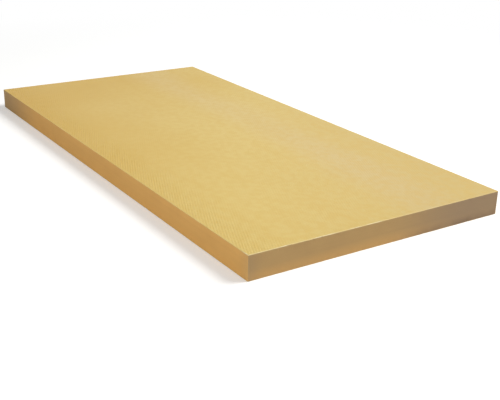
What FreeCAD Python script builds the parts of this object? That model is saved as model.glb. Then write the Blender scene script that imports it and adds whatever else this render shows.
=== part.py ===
import FreeCAD, Part
import os

# Rigid foam insulation board with butt edges, lying flat on its lower face.
# Millimetres, +Z up. The origin is the centre of the lower face, +X runs along
# the length and +Y across the width.

# Board format
length = 1250.0
width = 600.0
thickness = 50.0

# Edges left slightly round by cutting and handling
corner_radius = 2.0  # the four upright corners
arris_radius = 1.5   # all round the upper and the lower face

flatness = 1e-6      # how far an edge may rise along its run and still count as level


# A plain slab, centred on the origin in plan and standing on z = 0.
def centred_slab():
    corner = FreeCAD.Vector(-length / 2, -width / 2, 0)
    return Part.makeBox(length, width, thickness, corner)


def is_level(edge):
    return edge.BoundBox.ZLength < flatness


# The edges at the four corners, which run from the lower to the upper face.
def upright_edges(slab):
    return [edge for edge in slab.Edges if not is_level(edge)]


# The rims of the two broad faces, with the arcs at the rounded corners.
def rim_edges(slab):
    return [edge for edge in slab.Edges if is_level(edge)]


def insulation_board():
    slab = centred_slab()
    slab = slab.makeFillet(corner_radius, upright_edges(slab))
    return slab.makeFillet(arris_radius, rim_edges(slab))


os.makedirs("parts", exist_ok=True)
insulation_board().exportStep("parts/insulation_board.step")
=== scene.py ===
import math
import bpy
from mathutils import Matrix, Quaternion, Vector


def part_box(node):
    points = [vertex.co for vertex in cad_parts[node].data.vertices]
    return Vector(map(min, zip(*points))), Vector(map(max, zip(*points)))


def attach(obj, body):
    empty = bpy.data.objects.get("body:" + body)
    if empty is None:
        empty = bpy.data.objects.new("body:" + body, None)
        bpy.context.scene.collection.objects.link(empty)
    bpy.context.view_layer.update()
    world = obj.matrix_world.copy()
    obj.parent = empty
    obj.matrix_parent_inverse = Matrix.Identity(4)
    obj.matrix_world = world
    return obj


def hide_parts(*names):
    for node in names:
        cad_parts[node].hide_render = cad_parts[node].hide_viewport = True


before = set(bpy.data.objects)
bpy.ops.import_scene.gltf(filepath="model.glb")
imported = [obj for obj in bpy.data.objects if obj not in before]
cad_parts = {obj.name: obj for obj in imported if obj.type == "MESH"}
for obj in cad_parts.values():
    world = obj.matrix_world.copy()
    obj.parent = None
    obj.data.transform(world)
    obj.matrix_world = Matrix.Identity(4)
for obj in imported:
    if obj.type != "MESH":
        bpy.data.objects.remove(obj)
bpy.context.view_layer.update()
lowCorner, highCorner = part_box("insulation_board")
boardLength = highCorner[0] - lowCorner[0]
boardWidth = highCorner[1] - lowCorner[1]
boardThickness = highCorner[2] - lowCorner[2]
millimetre = 0.001


def tone(red, green, blue):
    # a display colour, 0 to 255, as the linear colour that the shaders take
    linear = []
    for level in (red, green, blue):
        part = level / 255
        linear.append(part / 12.92 if part <= 0.04045 else ((part + 0.055) / 1.055) ** 2.4)
    return (*linear, 1.0)


class Wire:
    # one output socket; arithmetic on it adds Math nodes to its tree
    def __init__(self, maker, socket):
        self.maker = maker
        self.socket = socket

    def math(self, operation, *others):
        inputs = {0: self}
        inputs.update({place + 1: other for place, other in enumerate(others)})
        return self.maker.add("ShaderNodeMath", {"operation": operation}, inputs)[0]

    def reflected(self, operation, first):
        inputs = {0: first, 1: self}
        return self.maker.add("ShaderNodeMath", {"operation": operation}, inputs)[0]

    def __add__(self, other):
        return self.math("ADD", other)

    def __radd__(self, other):
        return self.math("ADD", other)

    def __sub__(self, other):
        return self.math("SUBTRACT", other)

    def __rsub__(self, other):
        return self.reflected("SUBTRACT", other)

    def __mul__(self, other):
        return self.math("MULTIPLY", other)

    def __rmul__(self, other):
        return self.math("MULTIPLY", other)

    def __truediv__(self, other):
        return self.math("DIVIDE", other)

    def __rtruediv__(self, other):
        return self.reflected("DIVIDE", other)

    def __pow__(self, other):
        return self.math("POWER", other)

    def __neg__(self):
        return self.math("MULTIPLY", -1.0)

    def __abs__(self):
        return self.math("ABSOLUTE")

    def __lt__(self, other):
        return self.math("LESS_THAN", other)

    def __gt__(self, other):
        return self.math("GREATER_THAN", other)

    def least(self, other):
        return self.math("MINIMUM", other)

    def most(self, other):
        return self.math("MAXIMUM", other)

    def sine(self):
        return self.math("SINE")

    def cosine(self):
        return self.math("COSINE")

    def sign(self):
        return self.math("SIGN")

    def fraction(self):
        return self.math("FRACT")

    def ramp(self, start, end):
        # smooth step from 0 at start to 1 at end
        settings = {"interpolation_type": "SMOOTHSTEP"}
        inputs = {"Value": self, "From Min": start, "From Max": end}
        return self.maker.add("ShaderNodeMapRange", settings, inputs)["Result"]


class Outputs:
    # the outputs of one node, by name or place, as wires
    def __init__(self, maker, node):
        self.maker = maker
        self.node = node

    def __getitem__(self, key):
        return Wire(self.maker, self.node.outputs[key])


class Maker:
    # adds nodes to one tree: type, settings, then socket values or links
    def __init__(self, tree):
        self.tree = tree

    def add(self, nodeType, settings=None, inputs=None):
        node = self.tree.nodes.new(nodeType)
        for name, value in (settings or {}).items():
            setattr(node, name, value)
        for key, value in (inputs or {}).items():
            if isinstance(value, Wire):
                self.tree.links.new(value.socket, node.inputs[key])
            else:
                node.inputs[key].default_value = value
        return Outputs(self, node)

    def split(self, vector):
        parts = self.add("ShaderNodeSeparateXYZ", None, {0: vector})
        return parts["X"], parts["Y"], parts["Z"]

    def join(self, x, y, z):
        return self.add("ShaderNodeCombineXYZ", None, {"X": x, "Y": y, "Z": z})["Vector"]

    def blend(self, factor, first, second):
        # the Mix node's colour sockets are its inputs 6 and 7 and its output 2
        inputs = {0: factor, 6: first, 7: second}
        return self.add("ShaderNodeMix", {"data_type": "RGBA"}, inputs)[2]

    def noise(self, vector, scale, detail=2.0, roughness=0.5):
        inputs = {"Vector": vector, "Scale": scale, "Detail": detail, "Roughness": roughness}
        return self.add("ShaderNodeTexNoise", None, inputs)["Fac"]


viewPlan = {
    "place": (1.7363, -1.0307, 0.6738),
    "target": (0.4159, -0.1610, 0.05),
    "roll": 1.24,              # degrees
    "lens": 63.44,
}
lightPlan = {
    "skyStrength": 0.34,
    "keyPlace": (1.6, 2.9, 3.9),       # high, beyond the far long side
    "keySize": 2.8,
    "keyPower": 208,
    "frontPlace": (0.8, -2.1, 0.7),    # low, in front of the near long side
    "frontAim": (0.2, -0.3, 0),
    "frontSize": 0.9,
    "frontPower": 10,
}
floorPlan = {
    "span": 40.0,
    "colour": tone(240, 240, 238),
    "lift": 0.30,              # added for camera rays only, so that the open floor is white
    "fadeStart": 0.9,          # the floor turns plain white between these distances
    "fadeEnd": 2.0,
}


def addCamera(plan):
    data = bpy.data.cameras.new("viewCamera")
    data.lens = plan["lens"]
    camera = bpy.data.objects.new("viewCamera", data)
    bpy.context.collection.objects.link(camera)
    place = Vector(plan["place"])
    gaze = (Vector(plan["target"]) - place).to_track_quat("-Z", "Y")
    roll = Quaternion((0, 0, 1), math.radians(plan["roll"]))
    camera.location = place
    camera.rotation_euler = (gaze @ roll).to_euler()
    bpy.context.scene.camera = camera


def addSoftLight(name, place, aim, size, power):
    data = bpy.data.lights.new(name, "AREA")
    data.shape = "DISK"
    data.size = size
    data.energy = power
    light = bpy.data.objects.new(name, data)
    bpy.context.collection.objects.link(light)
    light.location = place
    light.rotation_euler = (Vector(aim) - Vector(place)).to_track_quat("-Z", "Y").to_euler()


def seenRays(maker):
    # 1 for rays that show the backdrop itself, directly or in a reflection
    paths = maker.add("ShaderNodeLightPath")
    return paths["Is Camera Ray"].most(paths["Is Glossy Ray"]).most(paths["Is Transmission Ray"])


def addSky(plan):
    world = bpy.data.worlds.new("studio")
    bpy.context.scene.world = world
    world.use_nodes = True
    world.node_tree.nodes.clear()
    maker = Maker(world.node_tree)
    seen = seenRays(maker)
    strength = seen + (1 - seen) * plan["skyStrength"]
    sky = maker.add("ShaderNodeBackground", None, {"Color": (1, 1, 1, 1), "Strength": strength})
    maker.add("ShaderNodeOutputWorld", None, {"Surface": sky["Background"]})


def addFloor(plan):
    half = plan["span"] / 2
    mesh = bpy.data.meshes.new("floor")
    corners = [(-half, -half, 0), (half, -half, 0), (half, half, 0), (-half, half, 0)]
    mesh.from_pydata(corners, [], [(0, 1, 2, 3)])
    floor = bpy.data.objects.new("floor", mesh)
    bpy.context.collection.objects.link(floor)
    material = bpy.data.materials.new("paleFloor")
    material.use_nodes = True
    material.node_tree.nodes.clear()
    maker = Maker(material.node_tree)
    matt = maker.add("ShaderNodeBsdfDiffuse", None, {"Color": plan["colour"]})
    camera = maker.add("ShaderNodeLightPath")["Is Camera Ray"]
    lift = maker.add("ShaderNodeEmission", None, {"Color": (1, 1, 1, 1), "Strength": camera * plan["lift"]})
    near = maker.add("ShaderNodeAddShader", None, {0: matt["BSDF"], 1: lift["Emission"]})
    white = maker.add("ShaderNodeEmission", None, {"Color": (1, 1, 1, 1), "Strength": 1.0})
    place = maker.add("ShaderNodeTexCoord")["Object"]
    distance = maker.add("ShaderNodeVectorMath", {"operation": "LENGTH"}, {0: place})["Value"]
    fade = camera * distance.ramp(plan["fadeStart"], plan["fadeEnd"])
    both = maker.add("ShaderNodeMixShader", None, {0: fade, 1: near["Shader"], 2: white["Emission"]})
    maker.add("ShaderNodeOutputMaterial", None, {"Surface": both["Shader"]})
    mesh.materials.append(material)


bpy.context.scene.view_settings.view_transform = "Standard"
addCamera(viewPlan)
addSky(lightPlan)
addFloor(floorPlan)
addSoftLight("key", lightPlan["keyPlace"], (0, 0, 0), lightPlan["keySize"], lightPlan["keyPower"])
addSoftLight("front", lightPlan["frontPlace"], lightPlan["frontAim"],
             lightPlan["frontSize"], lightPlan["frontPower"])
print("camera, lights and floor set")


# sizes of the board that its finish and its mesh share
boardPlan = {
    "cellLength": 12.45 * millimetre,   # one embossed cell, along the board
    "cellWidth": 5.53 * millimetre,     # and across it
    "reliefDepth": 0.62 * millimetre,   # along the -Y side, where the rollers bit deepest
    "reliefElsewhere": 0.32,            # share of it away from that side
    "deepBand": (-0.3, -0.5),           # where it deepens, in shares of the width
    "reliefAtRim": 0.35,                # share of the relief left where it runs out at the arris
    "rimFade": 4 * millimetre,          # over this distance
    "reliefUneven": (0.3, 1.4),         # least share of the depth, and how much noise adds
    "unevenScale": 60.0,
    "ribWander": 0.8 * millimetre,      # how far the ribs stray from a straight run
    "ribWanderScale": 24.0,
    "straightRim": 12 * millimetre,     # they come back to it over this distance from the rim
    "arrisRadius": 1.5 * millimetre,
    "cornerRadius": 2.0 * millimetre,
    "arrisSteps": 4,
    "sideSteps": 2,                     # from an arris to mid thickness
    "spread": 40 * millimetre,          # how far from a corner the columns draw together
    "arrisWear": (0.4 * millimetre, 2.6 * millimetre),
    "sawWander": 0.16 * millimetre,
    "sawScale": 9.0,
    "nickDepth": 0.7 * millimetre,
    "nickScale": 70.0,
    "nickThreshold": 0.58,              # larger leaves fewer nicks
    "nickGain": 6,
    "seed": 0.0,
}
sheetLength = boardLength - 2 * boardPlan["arrisRadius"]
sheetWidth = boardWidth - 2 * boardPlan["arrisRadius"]
cellsAlong = round(sheetLength / boardPlan["cellLength"])
cellsAcross = round(sheetWidth / boardPlan["cellWidth"])
cellLength = sheetLength / cellsAlong
cellWidth = sheetWidth / cellsAcross


def reliefShare(y):
    # share of the full relief at this place across the board
    rest = boardPlan["reliefElsewhere"]
    return rest + (1 - rest) * (y / boardWidth).ramp(*boardPlan["deepBand"])


def ribShift(maker, x, y):
    # how far the pattern strays along the board at this place
    stray = maker.noise(maker.join(x, y, 0.0), boardPlan["ribWanderScale"], 1.0) - 0.5
    return stray * 2 * boardPlan["ribWander"]


skinPlan = {
    "colour": tone(222, 195, 116),
    "deep": tone(212, 173, 80),         # yellowed, and painted shade in the pits
    "pale": tone(220, 197, 145),        # paler, for the foam cells and the painted sheen band
    "dull": tone(205, 179, 114),
    "worn": tone(232, 216, 166),        # rubbed arrises, and a painted highlight along one end
    "bandPlace": 0.14,                  # the painted sheen, a hazy pale band, in metres from the middle line
    "bandWidth": 0.11,
    "bandShare": 0.8,
    "dullShare": 0.9,
    "streakShare": 0.2,
    "mottleShare": 0.28,
    "pitShare": 0.3,
    "cellShare": 0.15,
    "roughness": 0.52,
    "specular": 0.35,
    "ribHalfWidth": 0.16,               # share of the way from a rib to the pit's centre
    "pitFloor": 0.8,                    # share of that way at which the rounding ends
    "cloudScale": 2.2,                  # noise scales, where larger is finer
    "streakScale": 26,
    "rubScale": 34,
    "mottleScale": 65,
    "lumpScale": 160,
    "cellScale": 900,
    "cellStretch": 0.35,                # under 1 draws the cells out along the board
    "streakStretch": 0.12,
    "lumpHeight": 0.12 * millimetre,
    "cellHeight": 0.05 * millimetre,
}
cutPlan = {
    "roughness": 0.78,
    "specular": 0.2,
    "patchScale": 16,
    "speckScale": 520,
    "cellScale": 1900,
    "streakShare": 0.22,
    "patchShare": 0.3,
    "speckShare": 0.3,
    "wornShare": 0.25,
    "dulledShare": 0.8,
    "handledShare": 0.25,
    "handledReach": 35 * millimetre,    # from the upright corners
    "footHeights": (26 * millimetre, 4 * millimetre),    # where the painted bounce light at the foot begins and is full
    "soilHeight": 18 * millimetre,
    "streakHeight": 0.16 * millimetre,
    "cellHeight": 0.10 * millimetre,
    "speckHeight": 0.12 * millimetre,
}
sidePlan = {
    "colour": tone(222, 171, 97),
    "deep": tone(204, 153, 85),
    "pale": tone(228, 190, 125),
    "foot": tone(234, 181, 103),        # painted bounce light: warmer and lighter near the lower face
    "footShare": 0.65,
    "dulled": tone(160, 135, 101),      # painted shade: darker towards the far end of the long sides, where less light falls
    "dulledAxis": 0,
    "dulledRange": (-0.33, -0.65),      # metres along that axis
    "soil": tone(140, 120, 92),         # painted shadow along the foot of the darker part
    "soiling": 0.0,
    "grain": (2.0, 2.0, 160.0),         # saw streaks run along the length
}
# the ends are the same cut foam as the long sides; their darker, greyer tones are painted shade
endPlan = {
    "colour": tone(190, 155, 103),
    "deep": tone(174, 141, 94),
    "pale": tone(208, 178, 128),
    # painted bounce light: warmer and lighter near the lower face
    "foot": tone(206, 163, 103),
    "footShare": 0.85,
    # painted shade: darker towards the far side of the end
    "dulled": tone(156, 133, 108),
    "dulledAxis": 1,
    "dulledRange": (-0.02, 0.22),
    # painted shadow along the foot of the darker part
    "soil": tone(132, 110, 88),
    "soiling": 0.7,
    "grain": (2.0, 2.0, 110.0),
}


def startFinish(name):
    material = bpy.data.materials.new(name)
    material.use_nodes = True
    material.node_tree.nodes.clear()
    return material, Maker(material.node_tree)


def closeFinish(maker, colour, roughness, height, specular):
    bump = maker.add("ShaderNodeBump", None, {"Strength": 1.0, "Distance": 1.0, "Height": height})
    inputs = {"Base Color": colour, "Roughness": roughness, "Normal": bump["Normal"],
              "Specular IOR Level": specular}
    foam = maker.add("ShaderNodeBsdfPrincipled", None, inputs)
    maker.add("ShaderNodeOutputMaterial", None, {"Surface": foam["BSDF"]})


def arrisMask(x, y, z):
    # 1 on the arrises and corners, falling to 0 over the next millimetres
    fromEnd = boardLength / 2 - abs(x)
    fromSide = boardWidth / 2 - abs(y)
    fromFace = boardThickness / 2 - abs(z - boardThickness / 2)
    # the middle one of the three distances
    middle = fromEnd.least(fromSide).most(fromEnd.most(fromSide).least(fromFace))
    return 1 - middle.ramp(*boardPlan["arrisWear"])


def pressedSkin(plan):
    material, maker = startFinish("pressedSkin")
    place = maker.add("ShaderNodeTexCoord")["Object"]
    x, y, z = maker.split(place)
    # 0 on a rib, 1 in the middle of a pit
    straight = x - ribShift(maker, x, y)
    along = abs(((straight + sheetLength / 2) / cellLength).fraction() - 0.5) * 2
    across = abs(((y + sheetWidth / 2) / cellWidth).fraction() - 0.5) * 2
    pit = abs(1 - (along + across))
    depth = reliefShare(y) * boardPlan["reliefDepth"]
    rounded = depth * (pit - pit.ramp(plan["ribHalfWidth"], plan["pitFloor"]))
    # drawn-out foam cells under the skin, and a coarser unevenness
    drawn = maker.join(x * plan["cellStretch"], y, z)
    grain = maker.noise(drawn, plan["cellScale"], 3.0, 0.6)
    lumps = maker.noise(drawn, plan["lumpScale"])
    height = rounded + grain * plan["cellHeight"] + lumps * plan["lumpHeight"]
    # the board has yellowed towards one corner and is darker towards the opposite one; between them a hazy
    # pale band is painted sheen
    cloud = maker.noise(place, plan["cloudScale"])
    yellowed = (cloud - 0.5 - x / boardLength * 1.4 - y / boardWidth * 0.9).ramp(-0.2, 1.1)
    dulled = (cloud * 0.4 - 0.2 + (x / boardLength + y / boardWidth) * 0.9).ramp(0.0, 1.0)
    paintedSheen = 1 - abs(y - plan["bandPlace"] + (cloud - 0.5) * 0.1).ramp(0.0, plan["bandWidth"])
    paintedSheen = paintedSheen * (0.45 + 0.55 * x.ramp(-0.1, 0.6))
    streak = maker.noise(maker.join(x * plan["streakStretch"], y, z), plan["streakScale"], 3.0)
    mottle = maker.noise(place, plan["mottleScale"], 1.0)
    colour = maker.blend(yellowed, plan["colour"], plan["deep"])
    colour = maker.blend(paintedSheen * plan["bandShare"], colour, plan["pale"])
    colour = maker.blend(dulled * plan["dullShare"], colour, plan["dull"])
    colour = maker.blend(streak.ramp(0.45, 0.8) * plan["streakShare"], colour, plan["deep"])
    colour = maker.blend(mottle.ramp(0.3, 0.7) * plan["mottleShare"], colour, plan["deep"])
    # painted shade: the pits are darkened towards the deep tone
    pitShade = pit.ramp(0.2, 0.9) * reliefShare(y) * plan["pitShare"]
    colour = maker.blend(pitShade, colour, plan["deep"])
    colour = maker.blend(grain.ramp(0.5, 0.8) * plan["cellShare"], colour, plan["pale"])
    # the arrises are rubbed pale a little all round; the strong pale line along one end is a painted
    # highlight
    rubbedAndHighlight = 0.15 + 0.85 * (x / boardLength).ramp(0.48, 0.496) * y.ramp(0.25, -0.2)
    patchy = 0.4 + maker.noise(place, plan["rubScale"]).ramp(0.35, 0.7)
    rubbedAndHighlight = rubbedAndHighlight * arrisMask(x, y, z) * patchy
    colour = maker.blend(rubbedAndHighlight.least(1.0), colour, plan["worn"])
    roughness = plan["roughness"] + (grain - 0.5) * 0.18 + (cloud - 0.5) * 0.1
    closeFinish(maker, colour, roughness, height, plan["specular"])
    return material


def cutFoam(name, plan):
    material, maker = startFinish(name)
    place = maker.add("ShaderNodeTexCoord")["Object"]
    x, y, z = maker.split(place)
    grainX, grainY, grainZ = plan["grain"]
    streak = maker.noise(maker.join(x * grainX, y * grainY, z * grainZ), 1.0, 4.0, 0.6)
    cellInputs = {"Vector": place, "Scale": cutPlan["cellScale"]}
    cells = maker.add("ShaderNodeTexVoronoi", None, cellInputs)["Distance"]
    specks = maker.noise(place, cutPlan["speckScale"], 2.0, 0.7)
    patches = maker.noise(place, cutPlan["patchScale"], 3.0)
    colour = maker.blend(streak.ramp(0.4, 0.75) * cutPlan["streakShare"], plan["colour"], plan["deep"])
    colour = maker.blend(patches.ramp(0.4, 0.75) * cutPlan["patchShare"], colour, plan["deep"])
    colour = maker.blend(specks.ramp(0.5, 0.85) * cutPlan["speckShare"], colour, plan["pale"])
    colour = maker.blend(arrisMask(x, y, z) * cutPlan["wornShare"], colour, plan["pale"])
    # painted bounce light: the cut faces turn warmer and lighter towards the lower face
    foot = z.ramp(*cutPlan["footHeights"]) * plan["footShare"]
    colour = maker.blend(foot, colour, plan["foot"])
    # painted shade: darker towards one end of each face, where less light falls; also greyer near the
    # upright corners
    dulled = (x, y)[plan["dulledAxis"]].ramp(*plan["dulledRange"])
    fromCorner = boardLength / 2 - abs(x) + boardWidth / 2 - abs(y)
    cornerGrey = fromCorner.ramp(cutPlan["handledReach"], 0.0) * cutPlan["handledShare"]
    colour = maker.blend((dulled * cutPlan["dulledShare"]).most(cornerGrey), colour, plan["dulled"])
    # painted shadow: darker still towards the lower face in the darker part
    shadowed = dulled * z.ramp(cutPlan["soilHeight"], 0.0) * patches.ramp(0.2, 0.6)
    colour = maker.blend(shadowed * plan["soiling"], colour, plan["soil"])
    height = (streak * cutPlan["streakHeight"] + cells * cutPlan["cellHeight"]
              + specks * cutPlan["speckHeight"])
    roughness = cutPlan["roughness"] + (specks - 0.5) * 0.2
    closeFinish(maker, colour, roughness, height, cutPlan["specular"])
    return material


skinFinish = pressedSkin(skinPlan)
sideFinish = cutFoam("cutSide", sidePlan)
endFinish = cutFoam("cutEnd", endPlan)
print("finishes made")


def sheetPattern(maker, given):
    # a tile of one cell and four quarters, laid side by side over the broad face
    tileLength = given["Sheet Length"] / given["Cells Along"]
    tileWidth = given["Sheet Width"] / given["Cells Across"]
    tile = maker.add("GeometryNodeMeshGrid", None, {
        "Size X": tileLength, "Size Y": tileWidth, "Vertices X": 3, "Vertices Y": 3})["Mesh"]
    x, y, z = maker.split(maker.add("GeometryNodeInputPosition")["Position"])
    steps = abs(x) * 2 / tileLength + abs(y) * 2 / tileWidth
    # the middle is lifted while the quads are cut, so that every cut follows a rib
    lift = maker.join(0.0, 0.0, steps < 0.5)
    tile = maker.add("GeometryNodeSetPosition", None, {"Geometry": tile, "Offset": lift})["Geometry"]
    tile = maker.add("GeometryNodeTriangulate", {"quad_method": "SHORTEST_DIAGONAL"},
                     {"Mesh": tile})["Mesh"]
    sunk = maker.join(x, y, -abs(1 - steps))
    tile = maker.add("GeometryNodeSetPosition", None, {"Geometry": tile, "Position": sunk})["Geometry"]
    spots = maker.add("GeometryNodeMeshGrid", None, {
        "Size X": given["Sheet Length"] - tileLength, "Size Y": given["Sheet Width"] - tileWidth,
        "Vertices X": given["Cells Along"], "Vertices Y": given["Cells Across"]})["Mesh"]
    laid = maker.add("GeometryNodeInstanceOnPoints", None, {"Points": spots, "Instance": tile})
    sheet = maker.add("GeometryNodeRealizeInstances", None, {"Geometry": laid["Instances"]})["Geometry"]
    return maker.add("GeometryNodeMergeByDistance", None, {
        "Geometry": sheet, "Distance": 0.02 * millimetre})["Geometry"]


def sinkPattern(maker, given, sheet, noisePlace):
    # turns the unit pits into real ones, shallower at the rim and a little uneven
    place = maker.add("GeometryNodeInputPosition")["Position"]
    x, y, z = maker.split(place)
    fromRim = (given["Sheet Length"] / 2 - abs(x)).least(given["Sheet Width"] / 2 - abs(y))
    fade = given["Relief At Rim"] + (1 - given["Relief At Rim"]) * fromRim.ramp(0.0, boardPlan["rimFade"])
    least, added = boardPlan["reliefUneven"]
    noiseSpot = maker.join(x, y, given["Seed"] + noisePlace)
    uneven = least + added * maker.noise(noiseSpot, boardPlan["unevenScale"], 3.0)
    depth = given["Relief Depth"] * fade * reliefShare(y) * uneven
    shifted = x + ribShift(maker, x, y) * fromRim.ramp(0.0, boardPlan["straightRim"])
    flat = maker.join(shifted, y, z * depth + given["Thickness"] / 2)
    sheet = maker.add("GeometryNodeSetPosition", None, {"Geometry": sheet, "Position": flat})["Geometry"]
    stored = {"data_type": "FLOAT_VECTOR", "domain": "POINT"}
    return maker.add("GeometryNodeStoreNamedAttribute", stored, {
        "Geometry": sheet, "Name": "sheetPlace", "Value": flat})["Geometry"]


def ringPlace(maker, given, reach, height):
    # a rim point moved out by reach, on a rectangle with rounded corners
    stored = maker.add("GeometryNodeInputNamedAttribute", {"data_type": "FLOAT_VECTOR"},
                       {"Name": "sheetPlace"})["Attribute"]
    x, y, z = maker.split(stored)
    spread = given["Spread"]
    radius = given["Corner Radius"] - given["Arris Radius"] + reach
    halfLength = given["Sheet Length"] / 2
    halfWidth = given["Sheet Width"] / 2

    def fromCorner(gap):
        # distance along the face, with the columns near a corner drawn into its arc
        share = (gap / spread).least(1.0)
        slid = gap + spread * (share ** 2 - share) + reach * share
        turn = (1 - slid / radius).most(0.0) * (math.pi / 4)
        return slid.most(radius) - radius * turn.sine(), radius - radius * turn.cosine()

    alongX, inwardY = fromCorner(halfLength - abs(x))
    alongY, inwardX = fromCorner(halfWidth - abs(y))
    onEnd = (halfLength - abs(x)) < 0.01 * millimetre
    backX = onEnd * inwardX + (1 - onEnd) * alongX
    backY = onEnd * alongY + (1 - onEnd) * inwardY
    outX = x.sign() * (halfLength + reach - backX)
    outY = y.sign() * (halfWidth + reach - backY)
    return maker.join(outX, outY, height)


def halfBoard(maker, given, sheet, noisePlace):
    # one broad face with its arris and half of the cut sides, down to mid thickness
    mesh = sinkPattern(maker, given, sheet, noisePlace)
    shadeFlat = {"Geometry": mesh, "Shade Smooth": False}
    mesh = maker.add("GeometryNodeSetShadeSmooth", None, shadeFlat)["Geometry"]
    neighbours = maker.add("GeometryNodeInputMeshEdgeNeighbors")["Face Count"]
    rim = neighbours < 1.5
    radius = given["Arris Radius"]
    rings = []
    for step in range(1, boardPlan["arrisSteps"] + 1):
        angle = math.pi / 2 * step / boardPlan["arrisSteps"]
        height = given["Thickness"] / 2 - radius * (1 - math.cos(angle))
        rings.append((radius * math.sin(angle), height))
    for step in range(1, boardPlan["sideSteps"] + 1):
        height = (given["Thickness"] / 2 - radius) * (1 - step / boardPlan["sideSteps"])
        rings.append((radius, height))
    for reach, height in rings:
        ring = maker.add("GeometryNodeExtrudeMesh", {"mode": "EDGES"}, {
            "Mesh": mesh, "Selection": rim, "Offset": (0.0, 0.0, -millimetre)})
        rim = ring["Top"]
        mesh = maker.add("GeometryNodeSetPosition", None, {
            "Geometry": ring["Mesh"], "Selection": rim,
            "Position": ringPlace(maker, given, reach, height)})["Geometry"]
    return mesh


def wearEdges(maker, given, mesh):
    # the saw's slow wander on the cut sides, and a few nicks along the arrises
    place = maker.add("GeometryNodeInputPosition")["Position"]
    x, y, z = maker.split(place)
    normal = maker.add("GeometryNodeInputNormal")["Normal"]
    fromFace = given["Thickness"] / 2 - abs(z)
    fromSide = (given["Sheet Length"] / 2 - abs(x)).least(given["Sheet Width"] / 2 - abs(y))
    onSide = fromFace.ramp(0.0, given["Arris Radius"])
    onArris = (fromFace < given["Arris Radius"]) * (fromSide < -0.1 * millimetre)
    wander = maker.noise(place, boardPlan["sawScale"]) * given["Saw Wander"]
    peaks = maker.noise(place, boardPlan["nickScale"], 3.0, 0.6) - boardPlan["nickThreshold"]
    nick = peaks.most(0.0) * boardPlan["nickGain"] * given["Nick Depth"]
    inward = (onSide * wander + onArris * nick) * -1
    scaled = {"Vector": normal, "Scale": inward}
    offset = maker.add("ShaderNodeVectorMath", {"operation": "SCALE"}, scaled)
    return maker.add("GeometryNodeSetPosition", None, {
        "Geometry": mesh, "Offset": offset["Vector"]})["Geometry"]


def paint(maker, mesh, material, selection=None):
    inputs = {"Geometry": mesh, "Material": material}
    if selection is not None:
        inputs["Selection"] = selection
    return maker.add("GeometryNodeSetMaterial", None, inputs)["Geometry"]


def boardTree(sizes):
    tree = bpy.data.node_groups.new("boardShape", "GeometryNodeTree")
    tree.interface.new_socket("Mesh", in_out="OUTPUT", socket_type="NodeSocketGeometry")
    for name, value in sizes.items():
        kind = "NodeSocketInt" if isinstance(value, int) else "NodeSocketFloat"
        tree.interface.new_socket(name, in_out="INPUT", socket_type=kind)
    maker = Maker(tree)
    given = maker.add("NodeGroupInput")
    sheet = sheetPattern(maker, given)
    # two places in the noise, so that the two faces differ
    upper = halfBoard(maker, given, sheet, 0.0)
    lower = halfBoard(maker, given, sheet, 3.0)
    mirror = {"Geometry": lower, "Scale": (1, 1, -1)}
    lower = maker.add("GeometryNodeTransform", None, mirror)["Geometry"]
    lower = maker.add("GeometryNodeFlipFaces", None, {"Mesh": lower})["Mesh"]
    joint = maker.add("GeometryNodeJoinGeometry")
    tree.links.new(upper.socket, joint.node.inputs[0])
    tree.links.new(lower.socket, joint.node.inputs[0])
    mesh = maker.add("GeometryNodeMergeByDistance", None, {
        "Geometry": joint["Geometry"], "Distance": 0.01 * millimetre})["Geometry"]
    mesh = wearEdges(maker, given, mesh)
    lift = maker.join(0.0, 0.0, given["Thickness"] / 2)
    mesh = maker.add("GeometryNodeSetPosition", None, {"Geometry": mesh, "Offset": lift})["Geometry"]
    normalX, normalY, normalZ = maker.split(maker.add("GeometryNodeInputNormal")["True Normal"])
    mesh = paint(maker, mesh, sideFinish)
    # the end faces take the copy of the cut foam with painted shade
    mesh = paint(maker, mesh, endFinish, abs(normalX) > 0.7)
    mesh = paint(maker, mesh, skinFinish, abs(normalZ) > 0.4)
    mesh = maker.add("GeometryNodeRealizeInstances", None, {"Geometry": mesh})["Geometry"]
    maker.add("NodeGroupOutput", None, {0: mesh})
    return tree


def growBoard(name):
    sizes = {
        "Sheet Length": sheetLength, "Sheet Width": sheetWidth, "Thickness": boardThickness,
        "Cells Along": cellsAlong, "Cells Across": cellsAcross,
        "Relief Depth": boardPlan["reliefDepth"], "Relief At Rim": boardPlan["reliefAtRim"],
        "Arris Radius": boardPlan["arrisRadius"], "Corner Radius": boardPlan["cornerRadius"],
        "Spread": boardPlan["spread"], "Saw Wander": boardPlan["sawWander"],
        "Nick Depth": boardPlan["nickDepth"], "Seed": boardPlan["seed"],
    }
    tree = boardTree(sizes)
    carrier = bpy.data.objects.new("carrier", bpy.data.meshes.new("carrier"))
    bpy.context.collection.objects.link(carrier)
    shape = carrier.modifiers.new("shape", "NODES")
    shape.node_group = tree
    for item in tree.interface.items_tree:
        if item.item_type == "SOCKET" and item.in_out == "INPUT":
            shape[item.identifier] = sizes[item.name]
    evaluated = carrier.evaluated_get(bpy.context.evaluated_depsgraph_get())
    mesh = bpy.data.meshes.new_from_object(evaluated)
    bpy.data.objects.remove(carrier)
    mesh.name = name
    mesh.attributes.remove(mesh.attributes["sheetPlace"])
    board = bpy.data.objects.new(name, mesh)
    bpy.context.collection.objects.link(board)
    return board


board = growBoard("foam_board")
print("board:", len(board.data.vertices), "points,", len(board.data.polygons), "faces,",
      sum(len(face.vertices) - 2 for face in board.data.polygons), "triangles")
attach(board, "root")
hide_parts("insulation_board")
